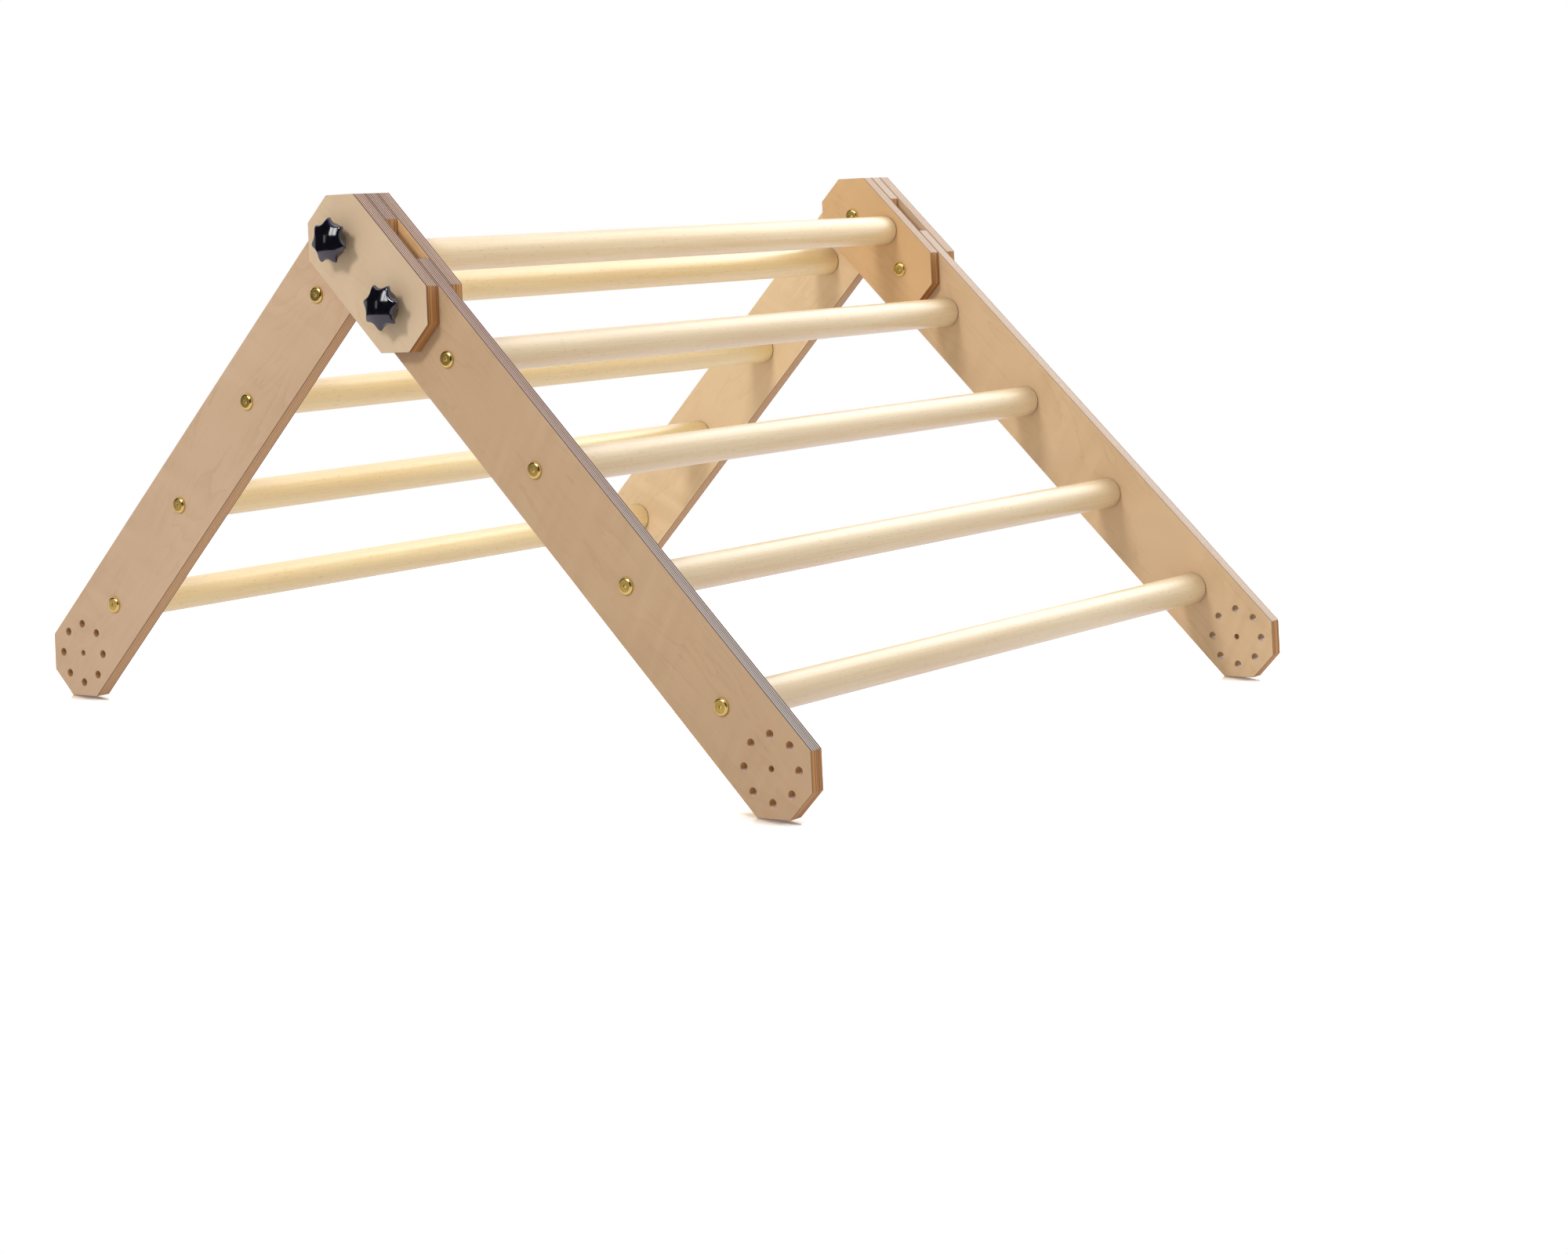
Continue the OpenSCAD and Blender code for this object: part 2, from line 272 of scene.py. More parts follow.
def closed_mesh(name, points, rows, steps, sharp_from):
    """Joins rows of points into a smooth closed mesh, with each point's radius and height in its UV map."""
    faces = []
    for low, high in zip(rows, rows[1:]):
        for k in range(steps):
            corners = [low[k % len(low)], low[(k + 1) % steps % len(low)],
                       high[(k + 1) % steps % len(high)], high[k % len(high)]]
            faces.append(list(dict.fromkeys(corners)))
    mesh = bpy.data.meshes.new(name)
    mesh.from_pydata(points, [], faces)
    shell = bmesh.new()
    shell.from_mesh(mesh)
    bmesh.ops.recalc_face_normals(shell, faces=shell.faces)
    shell.to_mesh(mesh)
    shell.free()
    lathe = mesh.uv_layers.new(name="UVMap")
    for loop in mesh.loops:
        x, y, z = points[loop.vertex_index]
        lathe.uv[loop.index].vector = (math.hypot(x, y), z)
    mesh.shade_smooth()
    mesh.set_sharp_from_angle(angle=math.radians(sharp_from))
    return mesh


def fitted(piece, body, slot, *nodes):
    """Hands a finished piece to the frame in place of its solids."""
    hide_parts(*nodes)
    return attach(piece, body)


# A countersink for the screw of the top rung, with its screw hole
sink = bpy.data.objects.new("countersink", turned("countersink", [
    (0, -overrun), (hole_r, -overrun), (hole_r, ply_t - sunk_below - sunk_head_h),
    (sunk_head_r, ply_t - sunk_below), (sunk_head_r, ply_t + overrun), (0, ply_t + overrun)]))
sink.data.transform(Matrix.Translation((pivot_pitch / 2, -top_rung_rise, 0)))

plies = bpy.data.node_groups.new("birch_plies", "ShaderNodeTree")
given, shown = ports(plies, [
    ("Place", "Vector", None), ("Facing", "Vector", None), ("Bored", "Float", 0.0), ("Shift", "Float", 0.0),
    ("Face Pale", "Color", None), ("Face Deep", "Color", None),
    ("Edge Pale", "Color", None), ("Edge Foot", "Color", None), ("Edge Deep", "Color", None),
    ("Wall Pale", "Color", None), ("Above", "Float", 0.0)],
    [("Color", "Color"), ("Roughness", "Float"), ("Height", "Float")])
ply_count = 13


def mixed(tree, share, low, high):
    """A number between low and high."""
    return wire(tree, "ShaderNodeMix", {0: share, 2: low, 3: high}, data_type="FLOAT").outputs[0]


def blended(tree, share, low, high, blend="MIX"):
    """A colour between low and high."""
    made = wire(tree, "ShaderNodeMix", {0: share, 6: low, 7: high}, data_type="RGBA", blend_type=blend)
    return made.outputs[2]


def ramped(tree, value, low, high, start=0.0, end=1.0):
    """The value brought from low..high to start..end with soft ends."""
    made = wire(tree, "ShaderNodeMapRange", {0: value, 1: low, 2: high, 3: start, 4: end},
                interpolation_type="SMOOTHSTEP")
    return made.outputs[0]


def grain(tree, x, y, z, detail=2.0, roughness=0.5, distortion=0.0):
    """Noise at that place, from 0 to 1."""
    made = wire(tree, "ShaderNodeTexNoise", {
        "Vector": spot(tree, x, y, z), "Scale": 1.0, "Detail": detail, "Roughness": roughness,
        "Distortion": distortion})
    return made.outputs[0]


def times(tree, value, factor, more=0.0):
    """The value times a factor, and something more."""
    return wire(tree, "ShaderNodeMath", {0: value, 1: factor, 2: more}, operation="MULTIPLY_ADD").outputs[0]


def waved(tree, place, waves, *more):
    """Noise with a number of waves a metre along each axis."""
    return grain(tree, *[times(tree, where, many) for where, many in zip(place, waves)], *more)


# Where a point lies among the plies, and how far it looks into the ends of their fibres. The numbers in this
# group are noise sizes in waves a metre, shares between tones, and thresholds of masks from 0 to 1.
at = parted(plies, given["Place"])
to = parted(plies, wire(plies, "ShaderNodeVectorMath", {0: given["Facing"]}, operation="ABSOLUTE").outputs[0])
depth = product(plies, at[1], ply_count / ply_t)
number = sum_up(plies, "MINIMUM", sum_up(plies, "FLOOR", depth), ply_count - 1)
cross = sum_up(plies, "ABSOLUTE", sum_up(plies, "MODULO", number, 2.0))
on_face = ramped(plies, to[1], 0.45, 0.85)
along = mixed(plies, cross, at[0], at[2])
athwart = mixed(plies, cross, at[2], at[0])
end_on = mixed(plies, cross, to[0], to[2])
shift = given["Shift"]

# The peeled face: wavy year lines drawn out along the board, shimmer across it, and fine fibres
waves = grain(plies, times(plies, at[0], 4.2, shift), shift, times(plies, at[2], 19), 3.0, 0.52, 0.5)
ragged = grain(plies, times(plies, at[0], 60), shift, times(plies, at[2], 330), 2.0, 0.6)
waves = plus(plies, times(plies, waves, 9.5), times(plies, ragged, 0.35))
year = sum_up(plies, "POWER", sum_up(plies, "FRACT", waves), 3.5)
drawn = grain(plies, times(plies, at[0], 9, shift), 4.0, times(plies, at[2], 22), 1.0)
year = product(plies, year, ramped(plies, drawn, 0.35, 0.62))
slanting = times(plies, at[0], 48, times(plies, at[2], 14))
shimmer = grain(plies, slanting, shift, times(plies, at[2], 7), 1.5, 0.5, 0.4)
patchy = ramped(plies, grain(plies, times(plies, at[0], 5), shift, times(plies, at[2], 9), 1.0), 0.38, 0.66)
shimmer = product(plies, minus(plies, shimmer, 0.5), patchy)
cloud = grain(plies, times(plies, at[0], 6, shift), shift, times(plies, at[2], 11), 2.0)
fine = 900
across = times(plies, athwart, fine, shift)
fibre = grain(plies, times(plies, along, 22), times(plies, at[1], fine), across, 3.0, 0.65)
pores = waved(plies, at, (1500, 1500, 1500), 1.0)
fleck = grain(plies, times(plies, at[0], 110), shift, times(plies, at[2], 1300), 0.0)
usual_tone = 0.60
fibre_share, shimmer_share, cloud_share, year_share, fleck_share = 0.42, 1.3, 0.85, 0.37, 0.30
tone = times(plies, minus(plies, fibre, 0.5), fibre_share, usual_tone)
tone = plus(plies, tone, times(plies, shimmer, shimmer_share))
tone = plus(plies, tone, times(plies, minus(plies, cloud, 0.5), cloud_share))
tone = minus(plies, tone, times(plies, year, year_share))
tone = minus(plies, tone, times(plies, ramped(plies, fleck, 0.70, 0.80), fleck_share), clamp=True)
face_colour = blended(plies, tone, given["Face Deep"], given["Face Pale"])

# The sawn edge: every second ply is dark with the ends of its fibres, and each has its own tone. Edges that
# look up are painted paler and greyer, a painted sheen of the light above, on the legs greyer towards the
# foot;
# the others keep the orange of the lacquer, and the skin plies are darker still.
end_grain = (0.60, 0.295, 0.10, 1), (0.26, 0.10, 0.031, 1)
side_grain = (0.80, 0.51, 0.27, 1), (0.33, 0.15, 0.065, 1)
skin_colour = (0.17, 0.075, 0.035, 1)
own = wire(plies, "ShaderNodeTexWhiteNoise", {"W": plus(plies, number, shift)}, noise_dimensions="1D")
own = own.outputs["Value"]
painted_top_sheen = ramped(plies, given["Above"], 0.20, 0.55)
wear = times(plies, minus(plies, mixed(plies, end_on, fibre, pores), 0.5), 0.4)
pale_tone = plus(plies, times(plies, cross, 0.90), times(plies, own, 0.20, -0.05))
pale_edge = blended(plies, ramped(plies, at[0], 0.10, 0.60), given["Edge Pale"], given["Edge Foot"])
pale_edge = blended(plies, plus(plies, pale_tone, wear, clamp=True), pale_edge, given["Edge Deep"])
fine_tone = plus(plies, times(plies, cross, 0.75), times(plies, own, 0.2))
at_end = ramped(plies, to[0], 0.3, 0.6)
end_tone = mixed(plies, at_end, fine_tone, times(plies, own, 1.2, -0.25))
end_tone = plus(plies, end_tone, wear, clamp=True)
end_edge = blended(plies, end_tone, *end_grain)
long_edge = blended(plies, end_tone, *side_grain)
end_edge = blended(plies, at_end, long_edge, end_edge)
from_middle = sum_up(plies, "ABSOLUTE", minus(plies, depth, ply_count / 2))
skin_ply = sum_up(plies, "GREATER_THAN", from_middle, ply_count / 2 - 0.85)
edge_colour = blended(plies, painted_top_sheen, end_edge, pale_edge)
edge_colour = blended(plies, times(plies, skin_ply, 0.85), edge_colour, skin_colour)

# The walls of the holes: even and warm, but pale where a peg hole's wall looks up into the light
bored_colours = (0.56, 0.32, 0.13, 1), (0.38, 0.20, 0.07, 1)
peg_hole = ramped(plies, given["Bored"], 0.7, 0.9)
lit_wall = product(plies, ramped(plies, given["Above"], 0.50, 0.92), peg_hole)
wall_colour = blended(plies, times(plies, own, 0.5, wear), *bored_colours)
wall_colour = blended(plies, lit_wall, wall_colour, given["Wall Pale"])
in_hole = ramped(plies, given["Bored"], 0.2, 0.4)
edge_colour = blended(plies, in_hole, edge_colour, wall_colour)

# Dark lines of glue between the plies, sunk a little, and the finish over it all
glue_colour = (0.06, 0.022, 0.012, 1)
glue_depth, fibre_depth = 0.00006, 0.00003
edge_gloss, face_gloss, hole_gloss = 0.60, 0.46, 0.40
into = sum_up(plies, "FRACT", depth)
near_glue = sum_up(plies, "MINIMUM", into, minus(plies, 1.0, into))
glue = ramped(plies, near_glue, 0.02, 0.13, 1.0, 0.0)
glue = product(plies, glue, sum_up(plies, "LESS_THAN", from_middle, ply_count / 2 - 0.5))
outer_glue = sum_up(plies, "GREATER_THAN", from_middle, ply_count / 2 - 1.5)
# Painted sheen: the glue lines show darker on edges that look up into the light
glue_tone = times(plies, outer_glue, 0.35, times(plies, painted_top_sheen, 0.20, 0.45))
glue_tone = minus(plies, glue_tone, times(plies, in_hole, 0.4))
glue = product(plies, glue, glue_tone, clamp=True)
edge_colour = blended(plies, glue, edge_colour, glue_colour)
plies.links.new(blended(plies, on_face, edge_colour, face_colour), shown["Color"])
gloss = mixed(plies, in_hole, mixed(plies, on_face, edge_gloss, face_gloss), hole_gloss)
plies.links.new(plus(plies, gloss, times(plies, fibre, 0.10, -0.05)), shown["Roughness"])
open_glue = product(plies, glue, minus(plies, 1.0, on_face))
relief = minus(plies, times(plies, fibre, fibre_depth), times(plies, open_glue, glue_depth))
plies.links.new(relief, shown["Height"])


def bare_material(name):
    """A new material with its tree, its Principled BSDF and the coordinates that it can read."""
    finish = bpy.data.materials.new(name)
    finish.use_nodes = True
    tree = finish.node_tree
    return finish, tree, tree.nodes["Principled BSDF"], wire(tree, "ShaderNodeTexCoord").outputs


def covered(tree, skin, effect, strength=1.0):
    """Feeds what an effect gives to the surface."""
    tree.links.new(effect.outputs["Color"], skin.inputs["Base Color"])
    tree.links.new(effect.outputs["Roughness"], skin.inputs["Roughness"])
    bump = wire(tree, "ShaderNodeBump", {
        "Height": effect.outputs["Height"], "Distance": 1.0, "Strength": strength})
    tree.links.new(bump.outputs[0], skin.inputs["Normal"])


def plywood(name, place, face, shift, edges, wall_pale=(0.45, 0.28, 0.15)):
    """Lacquered birch plywood whose grain runs along the board that lies at that place."""
    finish, tree, skin, here = bare_material(name)
    turn, scale = place.to_3x3(), (1, 1, 1)
    if place.determinant() < 0:
        scale = (1, -1, 1)
        turn = turn @ Matrix.Diagonal(scale)
    angles = turn.to_euler("XYZ")
    own = wire(tree, "ShaderNodeMapping", {
        "Vector": here["Object"], "Location": place.translation, "Rotation": angles, "Scale": scale},
        vector_type="TEXTURE")
    facing = wire(tree, "ShaderNodeMapping", {
        "Vector": here["Normal"], "Rotation": angles, "Scale": scale}, vector_type="TEXTURE")
    bored = wire(tree, "ShaderNodeAttribute", attribute_name="bored")
    paler, deeper = (1.05, 1.06, 1.08), (0.86, 0.83, 0.79)
    tones = {
        "Face Pale": [c * k for c, k in zip(face, paler)], "Face Deep": [c * k for c, k in zip(face, deeper)],
        "Edge Pale": edges[0], "Edge Foot": edges[1], "Edge Deep": edges[2], "Wall Pale": wall_pale}
    wood = wire(tree, "ShaderNodeGroup", {
        "Place": own.outputs[0], "Facing": facing.outputs[0], "Bored": bored.outputs["Fac"],
        "Above": parted(tree, here["Normal"])[2], "Shift": shift,
        **{key: (*tone, 1) for key, tone in tones.items()}}, node_tree=plies)
    covered(tree, skin, wood, 0.8)
    skin.inputs["Specular IOR Level"].default_value = 0.3
    return finish


inner_plate_face = (0.72, 0.455, 0.22)
# Painted light: the right-hand plates' edges are given lighter tones than the left-hand plates' edges
plate_edges = {
    "left": ((0.72, 0.50, 0.37), (0.72, 0.50, 0.37), (0.10, 0.06, 0.04)),
    "right": ((0.76, 0.59, 0.44), (0.76, 0.59, 0.44), (0.45, 0.30, 0.20))}
inner_plate_shift = {"left": -4.0, "right": 4.0}
for side in sides:
    place = layer(bar, side, inner_face) @ Matrix.Translation((-pivot_pitch / 2, 0, 0))
    finish = plywood(f"inner_plate_{side}_plywood", place, inner_plate_face, inner_plate_shift[side],
                     plate_edges[side])
    plate = eased_board(f"plate_inside_{side}", {
        "Reach": pivot_pitch, "Ring Depth": blind_depth, "Other Cut": sink, "Finish": finish}, place)
    fitted(plate, "connector", "plate_plywood", f"inner_plate_{side}")


# Top rung
# A 36 mm hardwood dowel, sanded and lacquered, cut square with a small bevel round its ends. It butts
# against the two inner plates, and a countersunk screw from each plate goes into the insert in its end.
rung_r = 0.018
rung_bevel = 0.0008
insert_r = 0.00505
insert_l = 0.013
collar_r = 0.0063
collar_t = 0.0012


def dowel(name, length):
    """A rung of that length along Y, with a pocket in each end for its insert."""
    half = length / 2
    worn = rung_bevel * 0.3
    lengths, steps = 12, 64
    end = [
        (0, half - insert_l), (insert_r, half - insert_l), (insert_r, half - collar_t),
        (collar_r, half - collar_t), (collar_r, half), (rung_r - rung_bevel, half),
        (rung_r - worn, half - worn), (rung_r, half - rung_bevel)]
    body = [(rung_r, (half - rung_bevel) * (1 - k / lengths)) for k in range(1, lengths)]
    top = end + body
    mesh = turned(name, [(r, -z) for r, z in top] + [(rung_r, 0)] + [(r, z) for r, z in reversed(top)], steps)
    mesh.transform(Matrix.Rotation(math.radians(-90), 4, "X"))
    return mesh


stick = bpy.data.node_groups.new("long_grain", "ShaderNodeTree")
given, shown = ports(stick, [("Place", "Vector", None), ("Pale", "Color", None), ("Deep", "Color", None)],
                     [("Color", "Color"), ("Roughness", "Float"), ("Height", "Float")])
at = parted(stick, given["Place"])
fibre = waved(stick, at, (700, 9, 700), 3.0, 0.6)
band = waved(stick, at, (75, 1.6, 75), 2.0, 0.5, 0.6)
year = sum_up(stick, "SINE", times(stick, band, 42))
slow = waved(stick, at, (12, 3, 12), 1.0)
dash = ramped(stick, waved(stick, at, (900, 120, 900), 0.0), 0.68, 0.78)
tone = times(stick, minus(stick, fibre, 0.5), 0.9, 0.60)
tone = plus(stick, tone, times(stick, year, 0.10))
tone = plus(stick, tone, times(stick, minus(stick, slow, 0.5), 0.9), clamp=True)
colour = blended(stick, tone, given["Deep"], given["Pale"])
dash_colour = (0.40, 0.24, 0.11, 1)
stick.links.new(blended(stick, times(stick, dash, 0.22), colour, dash_colour), shown["Color"])
stick.links.new(times(stick, fibre, 0.14, 0.30), shown["Roughness"])
stick.links.new(times(stick, fibre, 0.00003), shown["Height"])


def rung_wood(name, half, pale, deep):
    """Lacquered dowel wood with its grain along the rungs, and the shadow of the joint at both their ends."""
    finish, tree, skin, here = bare_material(name)
    wood = wire(tree, "ShaderNodeGroup", {
        "Place": here["Object"], "Pale": (*pale, 1), "Deep": (*deep, 1)}, node_tree=stick)
    covered(tree, skin, wood, 0.7)
    away = sum_up(tree, "ABSOLUTE", parted(tree, here["Object"])[1])
    shadow_starts, shadow_full = 0.0020, 0.0009
    joint = ramped(tree, away, half - shadow_starts, half - shadow_full)
    joint_colour = (0.11, 0.045, 0.018, 1)
    tree.links.new(blended(tree, joint, wood.outputs["Color"], joint_colour), skin.inputs["Base Color"])
    skin.inputs["Coat Weight"].default_value = 0.65
    skin.inputs["Coat Roughness"].default_value = 0.36
    return finish


top_rung_tones = (0.93, 0.75, 0.47), (0.80, 0.57, 0.29)
top_rung = bpy.data.objects.new("rung_at_the_top", dowel("rung_at_the_top", 2 * inner_face))
bpy.context.scene.collection.objects.link(top_rung)
top_rung.data.transform(bar @ Matrix.Translation((0, 0, top_rung_rise)))
top_rung.data.materials.append(rung_wood("top_rung_dowel", inner_face, *top_rung_tones))
fitted(top_rung, "connector", "rung_wood", "top_rung")


# Screws and inserts
# Zinc-plated steel, all of it hidden inside the wood: a countersunk M6 screw and a threaded insert at each
# end of the top rung, and an insert for each bolt in the rungs of the ladders. The solids keep their meshes.
turning = bpy.data.node_groups.new("turning_marks", "ShaderNodeTree")
given, shown = ports(turning, [
    ("Place", "Vector", None), ("Lathe", "Vector", None), ("Bright", "Color", None), ("Dull", "Color", None),
    ("Polish", "Float", 0.2)],
    [("Color", "Color"), ("Roughness", "Float"), ("Height", "Float")])
socket_edge = (0.0020, 0.0027)
head_edge = (0.0058, 0.0070)
mark_depth = 0.0000006
at = parted(turning, given["Place"])
on = parted(turning, given["Lathe"])
rings = grain(turning, times(turning, on[0], 9000), times(turning, on[1], 9000), 0.0, 2.0)
marks = mixed(turning, 0.85, waved(turning, at, (500, 4000, 500), 2.0), rings)
stain = waved(turning, at, (110, 110, 110), 1.0)
deep = ramped(turning, on[0], *socket_edge, 1.0, 0.0)
# Painted reflection: the flat of a head, inside its rim, is made duller and darker, standing in for the dark
# room it mirrors
ring = product(turning, ramped(turning, on[0], *head_edge, 1.0, 0.0), minus(turning, 1.0, deep))
tarnish = times(turning, ramped(turning, stain, 0.35, 0.70), 0.25)
dull = plus(turning, times(turning, ring, 0.55), tarnish, clamp=True)
turning.links.new(blended(turning, dull, given["Bright"], given["Dull"]), shown["Color"])
worn = times(turning, minus(turning, stain, 0.5), 0.10)
worn = plus(turning, worn, times(turning, deep, 0.35, times(turning, ring, 0.14)))
worn = plus(turning, given["Polish"], worn)
turning.links.new(plus(turning, worn, times(turning, marks, 0.08)), shown["Roughness"])
turning.links.new(times(turning, marks, mark_depth), shown["Height"])


def turned_metal(name, bright, dull, polish):
    """Metal with the fine marks of the lathe and a little tarnish."""
    finish, tree, skin, here = bare_material(name)
    metal = wire(tree, "ShaderNodeGroup", {
        "Place": here["Object"], "Lathe": here["UV"], "Bright": (*bright, 1), "Dull": (*dull, 1),
        "Polish": polish}, node_tree=turning)
    covered(tree, skin, metal)
    skin.inputs["Metallic"].default_value = 1.0
    return finish


steel_tones = (0.72, 0.70, 0.66), (0.55, 0.52, 0.46)
steel = turned_metal("zinc_plated_steel", *steel_tones, 0.30)
for name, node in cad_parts.items():
    if "insert" in name or "screw" in name:
        node.data.materials.clear()
        node.data.materials.append(steel)


# Ladder legs
# Four boards of the same plywood as the plates, sawn and drilled in one go so that they are all alike: a
# ring of eight peg holes round a bolt hole at each end, and four bolt holes between them for the rungs.
rungs = 4
rung_pitch = leg_reach / rungs
# Painted light: the right-hand legs' edges are given lighter tones than the left-hand legs' edges
leg_edges = {
    "left": ((0.64, 0.44, 0.33), (0.64, 0.57, 0.50), (0.07, 0.045, 0.042)),
    "right": ((0.79, 0.63, 0.49), (0.84, 0.69, 0.55), (0.48, 0.34, 0.24))}
# Painted light: the pale of the peg holes' walls that look up, brightest on the right-hand front leg
wall_tones = {
    ("front", "left"): (0.86, 0.68, 0.58), ("rear", "left"): (0.45, 0.28, 0.15),
    ("front", "right"): (1.0, 0.95, 0.88), ("rear", "right"): (0.45, 0.28, 0.15)}
# Painted light: the right-hand legs' faces are given much lighter tones than the left-hand legs' faces
leg_tones = {
    ("front", "left"): (0.512, 0.341, 0.197), ("rear", "left"): (0.568, 0.388, 0.244),
    ("front", "right"): (0.705, 0.492, 0.285), ("rear", "right"): (0.83, 0.61, 0.365)}
leg_shift = 11.0
for k, ((end, side), tone) in enumerate(leg_tones.items()):
    place = layer(front_pivot if end == "front" else rear_pivot, side, leg_in)
    wall = wall_tones[end, side]
    finish = plywood(f"{end}_leg_{side}_plywood", place, tone, leg_shift * (k + 1), leg_edges[side], wall)
    leg = eased_board(f"leg_{end}_{side}", {
        "Ring Depth": ply_t + overrun, "Rung Holes": rungs, "Rung Pitch": rung_pitch,
        "Finish": finish}, place)
    fitted(leg, f"{end}_ladder", "leg_plywood", f"{end}_leg_{side}")


# Ladder rungs
# Four dowels a ladder, the same as the top rung but as long as the ladder is wide. They butt against the
# inner faces of the legs, and a brass bolt through the leg goes into an insert in each end.
row = bpy.data.node_groups.new("row_along_a_leg", "GeometryNodeTree")
size, shape = ports(row, [
    ("Pattern", "Object", None), ("Count", "Int", rungs), ("Pitch", "Float", rung_pitch),
    ("Finish", "Material", None)], [("Row", "Geometry")])
places = wire(row, "GeometryNodeMeshLine", {
    "Count": size["Count"], "Offset": spot(row, size["Pitch"]),
    "Start Location": spot(row, product(row, size["Pitch"], 0.5))})
pattern = wire(row, "GeometryNodeObjectInfo", {"Object": size["Pattern"]})
copies = wire(row, "GeometryNodeInstanceOnPoints", {
    "Points": places.outputs[0], "Instance": pattern.outputs["Geometry"]})
real = wire(row, "GeometryNodeRealizeInstances", {"Geometry": copies.outputs[0]})
dressed = wire(row, "GeometryNodeSetMaterial", {"Geometry": real.outputs[0], "Material": size["Finish"]})
row.links.new(dressed.outputs[0], shape[0])

one_rung = bpy.data.objects.new("one_rung", dowel("one_rung", inner_w))
# Painted shade: the front ladder's dowels are given darker tones than the rear's, though the wood is one
rung_tones = {
    "front": ((0.88, 0.72, 0.47), (0.75, 0.55, 0.30)), "rear": ((0.97, 0.79, 0.44), (0.88, 0.63, 0.28))}
for end, holder in (("front", front_pivot), ("rear", rear_pivot)):
    rung_finish = rung_wood(f"{end}_ladder_dowel", leg_in, *rung_tones[end])
    rung_row = grown(f"rungs_{end}", row, {"Pattern": one_rung, "Finish": rung_finish}, holder)
    fitted(rung_row, f"{end}_ladder", "rung_wood", *[f"{end}_rung_{k + 1}" for k in range(rungs)])


# Rung bolts
# Furniture bolts of polished brass with a wide, flat, bevelled head and a hexagon socket. Sixteen of them
# go through the legs from outside into the inserts of the rungs, and they bear on the wood without a washer.
brass_tones = (0.80, 0.59, 0.18), (0.36, 0.24, 0.06)
brass = turned_metal("polished_brass", *brass_tones, 0.13)
bolt_r = 0.003
tip_bevel = 0.0008
bearing_ease = 0.0002
head_r = 0.009
head_h = 0.0032
head_flat_r = 0.0063
head_rim_h = 0.0009
socket_half = 0.002
socket_depth = 0.002
socket_cone = 0.0006
socket_mouth = 0.0005
thread_reach = 0.012


def wide_bolt(name, grip):
    """A bolt whose head stands on 0 and whose shank reaches down through the grip."""
    tip = -grip - thread_reach
    arc_steps = 6
    arc = [math.radians(90 * k / arc_steps) for k in range(arc_steps + 1)]
    shoulder = [(head_flat_r + (head_r - head_flat_r) * math.cos(turn),
                 head_rim_h + (head_h - head_rim_h) * math.sin(turn)) for turn in arc]
    return turned(name, [
        (0, tip), (bolt_r - tip_bevel, tip), (bolt_r, tip + tip_bevel), (bolt_r, -bearing_ease),
        (bolt_r + bearing_ease, 0), (head_r - bearing_ease, 0), (head_r, bearing_ease)] + shoulder + [
        (socket_half + socket_mouth, head_h, "six"), (socket_half, head_h - socket_mouth, "six"),
        (socket_half, head_h - socket_depth, "six"), (0, head_h - socket_depth - socket_cone)])


rung_bolt = bpy.data.objects.new("one_rung_bolt", wide_bolt("one_rung_bolt", ply_t))
rung_bolt.data.transform(Matrix.Rotation(math.radians(-90), 4, "X"))
for end, holder in (("front", front_pivot), ("rear", rear_pivot)):
    for side in sides:
        bolts = grown(f"bolts_{end}_{side}", row, {
            "Pattern": rung_bolt, "Finish": brass}, layer(holder, side, leg_out))
        fitted(bolts, f"{end}_ladder", "brass", f"{end}_rung_bolts_{side}")


# Pivot bolts
# The same brass bolts, but long enough to go through both plates and the leg between them. Their heads
# bear on the inner plates from inside, and their threads end in the bushes of the knobs.
for end, holder in (("front", front_pivot), ("rear", rear_pivot)):
    for side in sides:
        pivot = bpy.data.objects.new(f"pivot_{end}_{side}", wide_bolt(f"pivot_{end}_{side}", 3 * ply_t))
        bpy.context.scene.collection.objects.link(pivot)
        place = layer(holder, side, inner_face)
        pivot.data.transform(place @ Matrix.Rotation(math.radians(90), 4, "X"))
        if place.determinant() < 0:
            pivot.data.flip_normals()
        pivot.data.materials.append(brass)
        fitted(pivot, "connector", "brass", f"{end}_pivot_bolt_{side}")


# Outer plates
# Boards like the inner plates but without rings. They have no screws of their own: the knobs press them
# against the legs, and they come off over the pivot bolts.
outer_plate_face = (0.632, 0.47, 0.306)
outer_plate_shift = {"left": 4.0, "right": 10.0}
for side in sides:
    place = layer(bar, side, leg_out) @ Matrix.Translation((-pivot_pitch / 2, 0, 0))
    finish = plywood(f"outer_plate_{side}_plywood", place, outer_plate_face, outer_plate_shift[side],
                     plate_edges[side])
    plate = eased_board(f"plate_outside_{side}", {
        "Reach": pivot_pitch, "Rings": False, "Finish": finish}, place)
    fitted(plate, f"outer_clamp_{side}", "plate_plywood", f"outer_plate_{side}")


# Star knobs
# Moulded in glossy black plastic with seven lobes, hollow behind, round a brass bush with the thread. The
# face is slightly domed, the sides taper to a round underside, and all the edges are well rounded.
lobes = 7
knob_r = 0.025
knob_h = 0.0245
valley_floor_r = 0.0195
valley_r = 0.014
foot_r = 0.008
under_h = 0.0095
under_r = 0.019
rim_r = 0.0028
rim_turn = math.radians(65)
wide_h = 0.0175
rim_reach = knob_r - rim_r + rim_r * math.cos(rim_turn)
face_fall = knob_h - wide_h - rim_r * math.sin(rim_turn)
knob_wall = 0.0022
hollow_r = under_r - rim_r - knob_wall
hollow_top = under_h + 0.008
bush_hole_r = 0.00505
bush_hole_h = 0.0132
small_ease = 0.0004
foot_ease = 0.0006
tip_past = 0.0004
smoothings = 10
face_middle_r = 0.0025
around = lobes * 32


